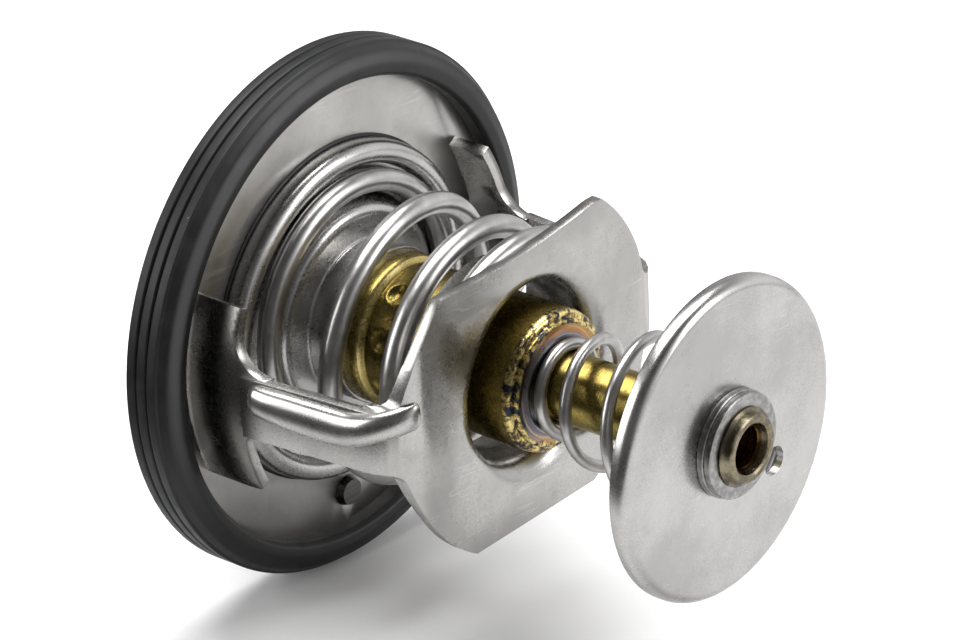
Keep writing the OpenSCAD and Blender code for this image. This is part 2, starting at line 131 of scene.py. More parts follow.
class Bench:
    """Adds nodes to one tree."""

    def __init__(self, tree):
        self.tree = tree

    def add(self, kind, settings=None, inputs=None, out=0):
        """A new node with its settings and its inputs, as the wire of one of its outputs."""
        node = self.tree.nodes.new(kind)
        for name, value in (settings or {}).items():
            if name == "stops":
                self.set_stops(node.color_ramp, value)
            else:
                setattr(node, name, value)
        for name, value in (inputs or {}).items():
            if isinstance(value, Wire):
                self.tree.links.new(value.socket, node.inputs[name])
            else:
                node.inputs[name].default_value = value
        return Wire(self, node.outputs[out])

    def parts(self, vector):
        """The three numbers of a vector."""
        return [self.add("ShaderNodeSeparateXYZ", {}, {0: vector}, i) for i in range(3)]

    def vector(self, x, y, z):
        return self.add("ShaderNodeCombineXYZ", {}, {0: x, 1: y, 2: z})

    @staticmethod
    def set_stops(ramp, stops):
        while len(ramp.elements) < len(stops):
            ramp.elements.new(1.0)
        for element, (place, colour) in zip(ramp.elements, stops):
            element.position = place
            element.color = (*colour, 1.0)


# Finishes

class Finish(Bench):
    """A procedural finish; lengths in it are in millimetres on the object."""

    def __init__(self, name):
        self.material = bpy.data.materials.new(name)
        self.material.use_nodes = True
        super().__init__(self.material.node_tree)
        self.shader = self.tree.nodes["Principled BSDF"]
        coordinates = self.add("ShaderNodeTexCoord", out=OBJECT_PLACE)
        self.place = self.add("ShaderNodeVectorMath", {"operation": "SCALE"},
                              {0: coordinates, "Scale": 1 / MM})
        self.x, self.y, self.z = self.parts(self.place)
        self.radius = (self.y * self.y + self.z * self.z) ** 0.5
        self.angle = self.z.sum("ARCTAN2", self.y)

    def round_place(self, along, across, around):
        """Coordinates that follow the turning: along the axis, outwards, and around."""
        return self.vector(self.x * along, self.radius * across, self.angle * around)

    def noise(self, scale, detail=3.0, rough=0.5, place=None, twist=0.0):
        values = {"Vector": place or self.place, "Scale": scale, "Detail": detail,
                  "Roughness": rough, "Distortion": twist}
        return self.add("ShaderNodeTexNoise", {}, values)

    def stretched(self, turn, stretch, scale, detail=2.0):
        """Long thin streaks that run in one direction."""
        values = {"Vector": self.place, "Rotation": turn, "Scale": stretch}
        return self.noise(scale, detail, 0.6, self.add("ShaderNodeMapping", {}, values))

    def specks(self, scale, size, share):
        """1 inside small round specks, a share of one in each cell."""
        settings = {"feature": "F1"}
        cells = {"Vector": self.place, "Scale": scale}
        far = self.add("ShaderNodeTexVoronoi", settings, cells, 0)
        tone = self.add("ShaderNodeTexVoronoi", settings, cells, 1)
        pick = self.add("ShaderNodeSeparateColor", {}, {0: tone}, 0)
        return (1 - far.between(size * 0.6, size)) * pick.between(1 - share, 1 - share + 0.02)

    def scratches(self, turn, scale=0.6, width=0.02):
        """Thin random scratches near one direction."""
        line = self.stretched(turn, (1.0, 0.06, 1.0), scale, 1.0)
        gap = self.noise(0.12, 2.0).between(0.45, 0.7)
        return line.near(0.5, width) * gap

    def mixed(self, share, first, second):
        """The first colour, giving way to the second by a share."""
        settings = {"data_type": "RGBA", "clamp_factor": True}
        first = first if isinstance(first, Wire) else (*first, 1.0)
        second = second if isinstance(second, Wire) else (*second, 1.0)
        return self.add("ShaderNodeMix", settings, {0: share, 6: first, 7: second}, 2)

    def ramp(self, value, stops):
        return self.add("ShaderNodeValToRGB", {"stops": stops}, {0: value})

    def give(self, metallic, colour, roughness, height, depth, specular=0.5):
        """Joins the finish to the shader. The depth of the relief is in millimetres."""
        relief = {"Strength": 1.0, "Distance": depth * MM, "Height": height}
        normal = self.add("ShaderNodeBump", {}, relief)
        for name, wire in (("Base Color", colour), ("Roughness", roughness), ("Normal", normal)):
            self.tree.links.new(wire.socket, self.shader.inputs[name])
        self.shader.inputs["Metallic"].default_value = metallic
        self.shader.inputs["Specular IOR Level"].default_value = specular
        return self.material


def moulded_rubber():
    """Matt black rubber with dust and lint, and a painted highlight on the upper part of its front
    face.
    """
    f = Finish("moulded_rubber")
    dust = f.noise(0.35, 5.0, 0.6).between(0.42, 0.75)
    flow = f.noise(0.5, 3.0, 0.5, f.round_place(2.0, 2.0, 6.0))
    lint = f.specks(0.75, 0.09, 0.1)
    colour = f.mixed(dust * 0.5, (0.006, 0.006, 0.0065), (0.016, 0.016, 0.017))
    # Painted highlight: the upper part of the seal's front face is made lighter, as a sheen of the
    # light above
    face = f.radius.near(31.7, 1.3) * f.x.between(2.3, 3.1)
    painted_sheen = face * (f.z * 0.8 - f.y * 0.6) / f.radius
    colour = f.mixed(painted_sheen.between(-0.1, 0.9) * 0.8, colour, (0.06, 0.06, 0.06))
    colour = f.mixed(lint * 0.5, colour, (0.22, 0.22, 0.21))
    rough = 0.4 + dust * 0.14 + flow * 0.1
    height = f.noise(3.0, 4.0) * 0.5 + flow * 0.5
    return f.give(0.0, colour, rough, height, 0.02, specular=0.4)


def satin_steel(name, tone, rough, turn, painted_foot_reflection=False):
    """Rolled stainless sheet with clouds, stains, specks and scratches. Its grain runs by turn. It
    may have a painted dark reflection on the feet of the legs.
    """
    f = Finish(name)
    cloud = f.noise(0.09, 4.0, 0.55)
    stain = f.noise(0.3, 5.0, 0.65, twist=0.3)
    grain = f.stretched(turn, (1.0, 0.04, 1.0), 3.0)
    fine = f.noise(2.2, 4.0, 0.65)
    scratch = f.scratches((0.3, 0.2, turn[2] + 0.5))
    soot = f.specks(0.55, 0.09, 0.07)
    light = tuple(c * 1.1 for c in tone)
    dark = tuple(c * 0.84 for c in tone)
    colour = f.mixed(cloud.between(0.3, 0.7), dark, light)
    stained = stain.between(0.5, 0.8)
    colour = f.mixed(stained * 0.3, colour, (tone[0] * 0.66, tone[1] * 0.62, tone[2] * 0.56))
    colour = f.mixed(fine.between(0.35, 0.75) * 0.16, colour, tuple(c * 0.7 for c in tone))
    colour = f.mixed(soot * 0.8, colour, (0.05, 0.045, 0.04))
    colour = f.mixed(scratch * 0.3, colour, (0.85, 0.85, 0.84))
    # Painted dark reflection: the feet of the legs are made darker where they would mirror a dark
    # surround
    if painted_foot_reflection:
        foot_reflection_mask = (1 - f.x.between(9.0, 12.5)) * f.x.between(1.0, 1.5)
        foot_reflection_mask = foot_reflection_mask * f.radius.between(26.3, 26.8)
        colour = f.mixed(foot_reflection_mask * 0.75, colour, (0.1, 0.095, 0.085))
    roughness = rough + (cloud - 0.5) * 0.14 + (fine - 0.5) * 0.1 + stained * 0.08 + scratch * 0.1
    return f.give(1.0, colour, roughness, grain * 0.5 + fine * 0.25 - scratch * 0.4, 0.008)


def spring_wire_steel():
    f = Finish("spring_wire_steel")
    stain = f.noise(0.22, 4.0, 0.6)
    fine = f.noise(1.6, 3.0, 0.5)
    pit = f.specks(0.8, 0.1, 0.1)
    colour = f.mixed(stain.between(0.35, 0.7), (0.43, 0.42, 0.41), (0.58, 0.57, 0.56))
    colour = f.mixed(pit * 0.5, colour, (0.1, 0.09, 0.08))
    roughness = 0.31 + (fine - 0.5) * 0.12 + (stain - 0.5) * 0.08
    return f.give(1.0, colour, roughness, fine, 0.005)


# Colours across the metal that is torn where the case is welded shut: soot, then gold
TORN_GOLD = [(0.0, (0.02, 0.025, 0.04)), (0.45, (0.035, 0.04, 0.06)), (0.5, (0.30, 0.21, 0.06)),
             (0.56, (0.80, 0.64, 0.26)), (1.0, (0.9, 0.76, 0.4))]


def old_brass(name, bright_bands, worn_end=None, dull_end=None):
    """Turned brass gone olive, bright in bands given by place and reach along the axis.

    Past worn_end it is torn and sooty; past dull_end and in the bore it is brown."""
    f = Finish(name)
    cloud = f.noise(0.16, 5.0, 0.6)
    patch = f.noise(0.42, 5.0, 0.7, twist=0.4)
    lathe_marks = f.noise(1.0, 2.0, 0.5, f.round_place(9.0, 9.0, 0.6))
    fine = f.noise(3.5, 4.0, 0.6)
    nick = f.scratches((0.2, 0.5, 0.9), 0.5, 0.03)
    spot = f.specks(0.7, 0.2, 0.2) * patch.between(0.4, 0.6)
    colour = f.mixed(cloud.between(0.3, 0.7), (0.20, 0.145, 0.035), (0.36, 0.28, 0.08))
    colour = f.mixed(patch.between(0.52, 0.72) * 0.7, colour, (0.10, 0.08, 0.03))
    colour = f.mixed(lathe_marks.between(0.5, 0.8) * 0.25, colour, (0.46, 0.37, 0.14))
    rub = 0.0
    for place, reach in bright_bands:
        rub = f.x.near(place, reach).most(rub)
    rub = rub * (0.4 + patch).between(0.65, 0.95)
    colour = f.mixed(rub * 0.8, colour, (0.74, 0.6, 0.26))
    colour = f.mixed((nick * 0.6).most(spot * 0.6), colour, (0.05, 0.04, 0.02))
    roughness = 0.27 + (patch - 0.5) * 0.25 + (fine - 0.5) * 0.1
    height = lathe_marks * 0.45 + patch * 0.5 + fine * 0.2 - nick * 0.5
    if worn_end:
        torn = f.noise(0.8, 6.0, 0.72, twist=0.7)
        edge = (f.x + (f.noise(0.9, 4.0, 0.6) - 0.5) * 0.9).between(worn_end, worn_end + 0.12)
        colour = f.mixed(edge, colour, f.ramp(torn, TORN_GOLD))
        height = height + torn * edge * 2.0
    if dull_end:
        turns = f.noise(1.0, 1.0, 0.5, f.round_place(4.0, 3.0, 0.3))
        inside = f.mixed(turns.between(0.4, 0.6), (0.1, 0.05, 0.015), (0.5, 0.3, 0.1))
        outside = f.mixed(patch.between(0.35, 0.65), (0.13, 0.11, 0.075), (0.3, 0.26, 0.18))
        end = f.mixed(f.radius.between(2.75, 3.0), inside, outside)
        bore = 1 - f.radius.between(2.62, 2.7)
        colour = f.mixed(f.x.between(dull_end, dull_end + 0.3).most(bore), colour, end)
    return f.give(1.0, colour, roughness, height, 0.03)


def heat_tinted_steel():
    """A weld ring: torn gold at its edge, orange in fine steps, blue-grey round the stem."""
    f = Finish("heat_tinted_steel")
    wave = f.noise(0.3, 4.0, 0.6)
    ragged = f.radius + (wave - 0.5) * 1.6
    stops = [(0.0, (0.10, 0.11, 0.14)), (0.38, (0.14, 0.15, 0.19)), (0.52, (0.22, 0.19, 0.2)),
             (0.62, (0.42, 0.2, 0.08)), (0.76, (0.46, 0.28, 0.10)), (0.9, (0.34, 0.26, 0.12)),
             (1.0, (0.5, 0.4, 0.18))]
    colour = f.ramp((ragged - 4.2) / 3.9, stops)
    blue = (f.y * -1 / f.radius + (wave - 0.5) * 0.8).between(0.1, 0.85)
    colour = f.mixed(blue * 0.85, colour, (0.15, 0.155, 0.185))
    steps = f.noise(1.0, 2.0, 0.5, f.round_place(1.0, 5.0, 0.3))
    colour = f.mixed(steps.between(0.5, 0.7) * 0.5, colour, (0.62, 0.56, 0.46))
    torn = f.noise(0.8, 6.0, 0.72, twist=0.7)
    outer = (f.radius + (f.noise(0.5, 4.0, 0.6) - 0.5) * 1.6).between(7.25, 7.5)
    colour = f.mixed(outer, colour, f.ramp(torn, TORN_GOLD))
    fine = f.noise(1.6, 5.0, 0.7)
    roughness = 0.3 + (fine - 0.5) * 0.2
    return f.give(1.0, colour, roughness, steps * 0.8 + fine * 0.3 + torn * outer, 0.05)


def washer_steel():
    f = Finish("washer_steel")
    fine = f.noise(1.3, 4.0, 0.6)
    turned_marks = f.noise(1.0, 2.0, 0.5, f.round_place(4.0, 7.0, 1.2))
    colour = f.mixed(fine.between(0.35, 0.7), (0.26, 0.255, 0.25), (0.44, 0.43, 0.42))
    roughness = 0.3 + (turned_marks - 0.5) * 0.2
    return f.give(1.0, colour, roughness, turned_marks + fine * 0.3, 0.015)


def ground_steel(name, dark, light):
    f = Finish(name)
    marks = f.noise(1.0, 2.0, 0.5, f.round_place(12.0, 2.0, 0.5))
    return f.give(1.0, f.mixed(marks, dark, light), 0.16 + marks * 0.14, marks, 0.004)


def packed_wax():
    f = Finish("packed_wax")
    grain = f.noise(1.5, 5.0, 0.7)
    colour = f.mixed(grain, (0.5, 0.42, 0.26), (0.74, 0.68, 0.5))
    return f.give(0.0, colour, 0.5 + grain * 0.2, grain, 0.05)


def white_plastic():
    f = Finish("white_plastic")
    grain = f.noise(2.0, 3.0)
    colour = f.mixed(grain, (0.74, 0.73, 0.69), (0.84, 0.83, 0.79))
    return f.give(0.0, colour, 0.42 + grain * 0.15, grain, 0.01)


rubber = moulded_rubber()
SHEET_TONE = (0.50, 0.49, 0.475)
plate_steel = satin_steel("flange_steel", SHEET_TONE, 0.32, (0.0, 0.0, 0.4))
# The strips carry the painted dark reflection on the feet of the legs
strip_steel = satin_steel("strip_steel", SHEET_TONE, 0.26, (0.0, 0.0, 0.05), True)
disc_steel = satin_steel("disc_steel", (0.54, 0.53, 0.52), 0.27, (0.9, 0.0, 0.2))
wire_steel = spring_wire_steel()
case_brass = old_brass("case_brass", [(9.4, 0.6), (12.0, 0.5)], 33.6)
stem_brass = old_brass("stem_brass", [(36.2, 0.5)], dull_end=61.9)
guide_brass = old_brass("guide_brass", [(-5.3, 0.6)])
tinted_steel = heat_tinted_steel()
washer_finish = washer_steel()
pin_steel = ground_steel("ground_steel", (0.45, 0.45, 0.47), (0.62, 0.62, 0.63))
dull_pin_steel = ground_steel("dull_pin_steel", (0.06, 0.058, 0.055), (0.2, 0.19, 0.18))
wax = packed_wax()
plastic = white_plastic()


# Outlines

def arc_between(a, b, c, radius, steps=8):
    """Points that round the corner b between a and c."""
    u, v = (a - b).normalized(), (c - b).normalized()
    half = math.acos(max(-1.0, min(1.0, u.dot(v)))) / 2
    reach = min(radius / math.tan(half), (a - b).length * 0.49, (c - b).length * 0.49)
    radius = reach * math.tan(half)
    middle = b + (u + v).normalized() * radius / math.sin(half)
    start, end = b + u * reach - middle, b + v * reach - middle
    turn = math.atan2(start.x * end.y - start.y * end.x, start.dot(end))
    return [middle + Matrix.Rotation(turn * i / steps, 2) @ start for i in range(steps + 1)]


def bent(path, steps=10):
    """A path of (radius, x, bend) corners with its bends rounded."""
    flat = [Vector(p[:2]) for p in path]
    line = [flat[0]]
    for i in range(1, len(path) - 1):
        line += arc_between(flat[i - 1], flat[i], flat[i + 1], path[i][2], steps)
    return line + [flat[-1]]


def beside(line, distance):
    """The line moved sideways, its corners kept sharp."""
    moved = []
    for i, p in enumerate(line):
        before = (p - line[max(i - 1, 0)]) if i else (line[1] - p)
        after = (line[min(i + 1, len(line) - 1)] - p) if i < len(line) - 1 else before
        u, v = before.normalized(), after.normalized()
        n = Vector((-u.y - v.y, u.x + v.x)).normalized()
        moved.append(p + n * distance / n.dot(Vector((-u.y, u.x))))
    return moved


def softened(outline, radius, sharp=40.0):
    """A closed outline whose sharp corners are rounded."""
    soft = []
    count = len(outline)
    for i, p in enumerate(outline):
        a, c = outline[i - 1], outline[(i + 1) % count]
        apart = (p - a).length > 1e-9 and (c - p).length > 1e-9
        turn = math.degrees((p - a).angle(c - p)) if apart else 0.0
        on_axis = p.x < 1e-6
        soft += arc_between(a, p, c, radius, 3) if turn > sharp and not on_axis else [p]
    return soft


def sheet(path, thickness, edge=0.12):
    """The outline of a sheet that is bent along a path, its edges rounded."""
    line = bent(path)
    return softened(beside(line, thickness / 2) + beside(line, -thickness / 2)[::-1], edge, 60.0)


# Meshes

def placed(name, data):
    """A new object in the scene."""
    obj = bpy.data.objects.new(name, data)
    bpy.context.scene.collection.objects.link(obj)
    return obj


def piece(name, mesh, finish, body, replaced=(), sharp=38.0):
    """A finished piece that rides on a body; edges sharper than the given angle stay sharp."""
    obj = placed(name, mesh)
    mesh.materials.clear()
    mesh.materials.append(finish)
    mesh.shade_smooth()
    mesh.set_sharp_from_angle(angle=math.radians(sharp))
    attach(obj, body)
    if replaced:
        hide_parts(*replaced)
    return obj


def closed_mesh(name, bm):
    """The mesh of a closed form, its faces turned outwards."""
    bmesh.ops.recalc_face_normals(bm, faces=bm.faces)
    mesh = bpy.data.meshes.new(name)
    bm.to_mesh(mesh)
    bm.free()
    return mesh


def turned_mesh(name, outline, around=192):
    """A closed outline of (radius, x) in millimetres turned about the valve axis."""
    bm = bmesh.new()
    rings = []
    for p in outline:
        if p[0] < 1e-6:
            rings.append([bm.verts.new((p[1] * MM, 0, 0))])
            continue
        ring = []
        for k in range(around):
            a = FULL_TURN * k / around
            ring.append(bm.verts.new((p[1] * MM, p[0] * MM * math.cos(a), p[0] * MM * math.sin(a))))
        rings.append(ring)
    for i, ring in enumerate(rings):
        after = rings[(i + 1) % len(rings)]
        for k in range(around):
            corners = [ring[k % len(ring)], ring[(k + 1) % len(ring)],
                       after[(k + 1) % len(after)], after[k % len(after)]]
            corners = list(dict.fromkeys(corners))
            if len(corners) > 2:
                bm.faces.new(corners)
    return closed_mesh(name, bm)


def evaluated(obj):
    """The plain mesh that an object's modifiers give; the object is removed."""
    bpy.context.view_layer.update()
    graph = bpy.context.evaluated_depsgraph_get()
    mesh = bpy.data.meshes.new_from_object(obj.evaluated_get(graph))
    name = obj.name
    bpy.data.objects.remove(obj)
    mesh.name = name
    return mesh


def shaped_by(mesh, tree, settings):
    """Runs a geometry tree on a mesh, its inputs set by name, and returns the plain mesh."""
    obj = placed(mesh.name, mesh)
    modifier = obj.modifiers.new("shape", "NODES")
    modifier.node_group = tree
    for item in tree.interface.items_tree:
        if item.in_out == "INPUT" and item.name in settings:
            modifier[item.identifier] = settings[item.name]
    return evaluated(obj)


def new_tree(name, inputs):
    """A geometry tree, its bench, and the wires of its geometry and of its named inputs."""
    tree = bpy.data.node_groups.new(name, "GeometryNodeTree")
    tree.interface.new_socket(name="Geometry", in_out="INPUT", socket_type="NodeSocketGeometry")
    for label in inputs:
        kind = "NodeSocketMaterial" if label == "Finish" else "NodeSocketFloat"
        tree.interface.new_socket(name=label, in_out="INPUT", socket_type=kind)
    tree.interface.new_socket(name="Geometry", in_out="OUTPUT", socket_type="NodeSocketGeometry")
    bench = Bench(tree)
    source = tree.nodes.new("NodeGroupInput")
    wires = [Wire(bench, socket) for socket in source.outputs[:-1]]
    return tree, bench, wires


def end_tree(bench, geometry, finish):
    """Ends a tree in plain geometry that has its finish."""
    real = bench.add("GeometryNodeRealizeInstances", {}, {0: geometry})
    dressed = bench.add("GeometryNodeSetMaterial", {}, {"Geometry": real, "Material": finish})
    target = bench.tree.nodes.new("NodeGroupOutput")
    bench.tree.links.new(dressed.socket, target.inputs[0])


COIL_LENGTHS = ["Wire", "First radius", "Last radius", "First place", "Last place", "Lean", "Sag"]
COIL_NUMBERS = ["Start turn", "Rest turns", "Climb turns", "Ease", "Climb power", "Widen power"]


def coil_tree():
    """A wire wound about the valve axis that rests, climbs, perhaps widens, and rests again."""
    tree, bench, wires = new_tree("coil", COIL_LENGTHS + COIL_NUMBERS + ["Finish"])
    _, wire, r0, r1, x0, x1, lean, sag, start, rest, turns, ease, rise, widen, finish = wires
    count = 720
    line = bench.add("GeometryNodeCurvePrimitiveLine")
    line = bench.add("GeometryNodeResampleCurve", {}, {"Curve": line, "Count": count})
    index = bench.add("GeometryNodeInputIndex")
    turned_by = index / (count - 1) * (turns + rest * 2)
    share = ((turned_by - rest) / turns).most(0.0).least(1.0)

    def gathered(u):
        inside = u.most(0.0).least(ease)
        return inside * inside / (ease * 2) + (u - ease).most(0.0)

    climb = (gathered(share) - gathered(share - (1 - ease))) / (1 - ease)
    radius = r0 + (r1 - r0) * share ** widen
    angle = (turned_by + start + 0.25) * FULL_TURN
    free = (climb * math.pi).sum("SINE") ** 2.0
    x = x0 + (x1 - x0) * climb ** rise + lean * free * angle.sum("SINE")
    place = bench.vector(x, radius * angle.sum("COSINE"), radius * angle.sum("SINE") - sag * free)
    path = bench.add("GeometryNodeSetPosition", {}, {"Geometry": line, "Position": place})
    section = bench.add("GeometryNodeCurvePrimitiveCircle", {},
                        {"Resolution": 28, "Radius": wire / 2})
    tube = bench.add("GeometryNodeCurveToMesh", {},
                     {"Curve": path, "Profile Curve": section, "Fill Caps": True})
    end_tree(bench, tube, finish)
    return tree


def crimp_tree():
    """Presses a row of round dents into the outside of a turned case."""
    tree, bench, (case, count, place, reach, depth, finish) = new_tree(
        "crimp_dents", ["Dents", "Place", "Reach", "Depth", "Finish"])
    first_dent = 4 / 360
    x, y, z = bench.parts(bench.add("GeometryNodeInputPosition"))
    radius = (y * y + z * z) ** 0.5
    share = z.sum("ARCTAN2", y) / FULL_TURN * count - first_dent * count
    off = ((share + 0.5).sum("FRACT") - 0.5) / count * FULL_TURN * radius
    along = x - place
    far = (along * along + off * off) ** 0.5
    press = (1 - (far / reach).least(1.0) ** 2.2) * depth
    inward = press * radius.between(8.3 * MM, 8.6 * MM) * -1
    inward = bench.vector(0.0, y / radius * inward, z / radius * inward)
    moved = bench.add("GeometryNodeSetPosition", {}, {"Geometry": case, "Offset": inward})
    end_tree(bench, moved, finish)
    return tree


coil = coil_tree()
crimp = crimp_tree()


def wound(name, body, replaced, sizes):
    """A spring in place of a CAD node. Its lengths are given in millimetres."""
    empty = bpy.data.meshes.new(name)
    sizes = {label: size * MM if label in COIL_LENGTHS else size for label, size in sizes.items()}
    mesh = shaped_by(empty, coil, dict(sizes, Finish=wire_steel))
    bm = bmesh.new()
    bm.from_mesh(mesh)
    bmesh.ops.remove_doubles(bm, verts=bm.verts, dist=1e-7)
    bmesh.ops.recalc_face_normals(bm, faces=bm.faces)
    bm.to_mesh(mesh)
    bm.free()
    return piece(name, mesh, wire_steel, body, (replaced,))


def eased(node, finish, width=0.14, before=None, after=None):
    """A copy of a CAD piece with its sheared edges broken.

    It may be reshaped before and after the bevel, which small edges make narrower."""
    mesh = nodes[node].data.copy()
    bm = bmesh.new()
    bm.from_mesh(mesh)
    bmesh.ops.remove_doubles(bm, verts=bm.verts, dist=2e-6)
    if before:
        before(bm)
    bmesh.ops.dissolve_limit(bm, angle_limit=math.radians(1.0), verts=bm.verts, edges=bm.edges)
    bm.to_mesh(mesh)
    bm.free()
    obj = placed(node + "_eased", mesh)
    bevel = obj.modifiers.new("edges", "BEVEL")
    bevel.width = width * MM
    bevel.segments = 2
    bevel.limit_method = "ANGLE"
    bevel.angle_limit = math.radians(38)
    bevel.use_clamp_overlap = True
    bevel.harden_normals = False
    mesh = evaluated(obj)
    if after:
        bm = bmesh.new()
        bm.from_mesh(mesh)
        after(bm)
        bm.to_mesh(mesh)
        bm.free()
    return piece(node + "_pressed", mesh, finish, nodes[node]["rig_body"], (node,), 32.0)


# The seal

RIB_R, GROOVE_R = 33.5, 33.0
RIB_PITCH, RIB_HALF, RIBS_BACK = 1.6, 0.6, 0.6


def seal_outline():
    """The ribbed ring in section, as (radius, x) with the slot that takes the flange."""
    points = [(29.3, -0.75, 0), (29.3, -2.6, 0.35), (29.75, -3.3, 0.5), (31.0, -3.5, 1.2),
              (32.6, -3.2, 0.4), (33.15, -2.95, 0.1)]
    for k in (-1, 0, 1):
        middle = k * RIB_PITCH - RIBS_BACK
        points += [(RIB_R, middle - RIB_HALF, 0.2), (RIB_R, middle + RIB_HALF, 0.2)]
        if k < 1:
            points += [(GROOVE_R, middle + RIB_PITCH / 2, 0.08)]
    points += [(33.15, 1.85, 0.3), (32.6, 2.85, 0.8), (31.0, 3.5, 1.2), (29.75, 3.3, 0.5),
               (29.3, 2.6, 0.35), (29.3, 0.75, 0), (31.4, 0.75, 0), (31.4, -0.75, 0)]
    flat = [Vector(p[:2]) for p in points]
    line = []
    for i, p in enumerate(points):
        after = flat[(i + 1) % len(points)]
        line += arc_between(flat[i - 1], flat[i], after, p[2], 5) if p[2] else [flat[i]]
    return line


piece("ribbed_seal", turned_mesh("ribbed_seal", seal_outline(), 288), rubber, "frame",
      ("seal_ring",), 50.0)

# The main valve

SHEET = 1.0
HALF = SHEET / 2
rim_out, rim_in, rim_top, trough, dome = 21.38, 18.48, 3.7, 2.15, 4.65
valve_path = [
    (rim_out - HALF, 1.05, 0), (rim_out - HALF, rim_top - HALF, 0.94),
    (rim_in + HALF, rim_top - HALF, 0.94), (rim_in + HALF, trough - HALF, 0.6),
    (14.5, trough - HALF, 0.9), (13.2, dome - HALF, 1.3), (9.31, dome - HALF, 0.9), (9.31, 9.3, 0)]
piece("valve_plate", turned_mesh("valve_plate", sheet(valve_path, SHEET)), disc_steel, "element",
      ("valve_disc",))

# The wax case

CASE_R, CASE_END, CASE_BORE, STEM_BORE = 8.8, 34.7, 7.8, 4.26
case_outline = [Vector(p) for p in [
    (CASE_BORE, 9.3), (9.2, 9.3), (9.5, 9.6), (9.5, 11.5), (9.25, 12.05), (8.75, 12.25),
    (8.55, 12.5), (CASE_R, 12.85), *[(CASE_R, 13.0 + i * 0.16) for i in range(22)],
    (CASE_R, 33.9), (8.72, 34.35), (8.5, 34.62), (8.15, CASE_END), (STEM_BORE, CASE_END),
    (STEM_BORE, 33.2), (CASE_BORE, 33.2)]]
case_mesh = turned_mesh("crimped_case", softened(case_outline, 0.1, 50.0), 288)
case_mesh = shaped_by(case_mesh, crimp, {
    "Dents": 9.0, "Place": 14.7 * MM, "Reach": 1.45 * MM, "Depth": 0.55 * MM,
    "Finish": case_brass})
piece("crimped_case", case_mesh, case_brass, "element", ("wax_case",), 55.0)

weld_outline = [Vector(p) for p in [
    (STEM_BORE, CASE_END), (7.9, CASE_END), (7.85, 35.0), (7.6, 35.2), (7.3, 35.16), (7.0, 35.02),
    (6.6, 35.1), (6.1, 35.42), (5.8, 35.45), (STEM_BORE, 35.45)]]
piece("tinted_ring", turned_mesh("tinted_ring", weld_outline), tinted_steel, "element",
      ("end_ring",), 60.0)

# Stem, washers and bypass disc

stem_outline = [Vector(p) for p in [
    (0, 32.1), (5.45, 32.1), (5.45, 33.19), (4.25, 33.19), (4.25, 60.3), (3.25, 60.3),
    (3.25, 62.1), (4.7, 62.1), (4.85, 62.35), (4.55, 62.6), (4.35, 62.9), (4.2, 63.3),
    (3.95, 63.5), (3.4, 63.5), (3.1, 63.3), (2.95, 62.7), (2.6, 62.2), (2.6, 50.5), (0, 49.3)]]
stem_mesh = turned_mesh("hollow_stem", softened(stem_outline, 0.08, 30.0), 128)
piece("hollow_stem", stem_mesh, stem_brass, "element", ("stem_tube",), 50.0)

for node, low, high, outside, slot in (("rear_washer", 60.3, 61.2, 6.55, "tinted_steel"),
                                       ("front_washer", 61.2, 62.1, 6.4, "ground_steel")):
    section = [Vector(p) for p in [(3.26, low), (outside, low), (outside, high), (3.26, high)]]
    washer_mesh = turned_mesh(node, softened(section, 0.18), 128)
    piece(node + "_ring", washer_mesh, washer_finish, "element", (node,))

HOLE_R, HOLE_OUT, HOLE_TURN = 1.8, 10.2, -33
bypass_path = [(19.1, 57.99, 0), (19.1, 59.79, 0.9), (4.8, 59.79, 0.7), (4.8, 57.69, 0)]
bypass_obj = placed("bypass_plate", turned_mesh("bypass_plate", sheet(bypass_path, SHEET), 256))
bm = bmesh.new()
across_disc = (Matrix.Rotation(math.radians(HOLE_TURN), 4, "X")
               @ Matrix.Translation((59.8 * MM, HOLE_OUT * MM, 0))
               @ Matrix.Rotation(math.pi / 2, 4, "Y"))
bmesh.ops.create_cone(bm, cap_ends=True, segments=48, radius1=HOLE_R * MM, radius2=HOLE_R * MM,
                      depth=4 * MM, matrix=across_disc)
drill = placed("drill", bpy.data.meshes.new("drill"))
bm.to_mesh(drill.data)
bm.free()
hole = bypass_obj.modifiers.new("hole", "BOOLEAN")
hole.operation = "DIFFERENCE"
hole.solver = "EXACT"
hole.object = drill
bypass_mesh = evaluated(bypass_obj)
bpy.data.objects.remove(drill)
piece("bypass_plate", bypass_mesh, disc_steel, "bypass_valve", ("bypass_disc",))

# Springs

main_coil = wound("main_coil", "frame", "main_spring", {
    "Wire": 2.9, "First radius": 16.68, "Last radius": 15.93,
    "First place": 3.6, "Last place": 29.15, "Lean": 1.9, "Sag": 0.9,
    "Start turn": 0.6, "Rest turns": 0.4, "Climb turns": 3.05,
    "Ease": 0.1, "Climb power": 1.0, "Widen power": 1.0})
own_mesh(main_coil)

small_coil = wound("small_coil", "element", "bypass_spring", {
    "Wire": 1.5, "First radius": 5.1, "Last radius": 12.0,
    "First place": 36.2, "Last place": 58.54, "Lean": 0.0, "Sag": 0.0,
    "Start turn": -0.6, "Rest turns": 0.6, "Climb turns": 3.15,
    "Ease": 0.001, "Climb power": 1.45, "Widen power": 1.2})
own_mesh(small_coil)

# Pressed frames

# The outside of a leg leans in from its foot and runs round the bend into the bridge:
# millimetres in the frame's own place, before it is turned about the axis
LEG_OUT, LEG_FOOT, LEG_LEAN = 27.0, 7.75, 2.2 / 23.55
BEND_X, BEND_R = 26.0, 6.0
BEND_Y = LEG_OUT - LEG_LEAN * (BEND_X - LEG_FOOT) - BEND_R
frame_turn = Matrix.Rotation(math.radians(3.5), 3, "X")

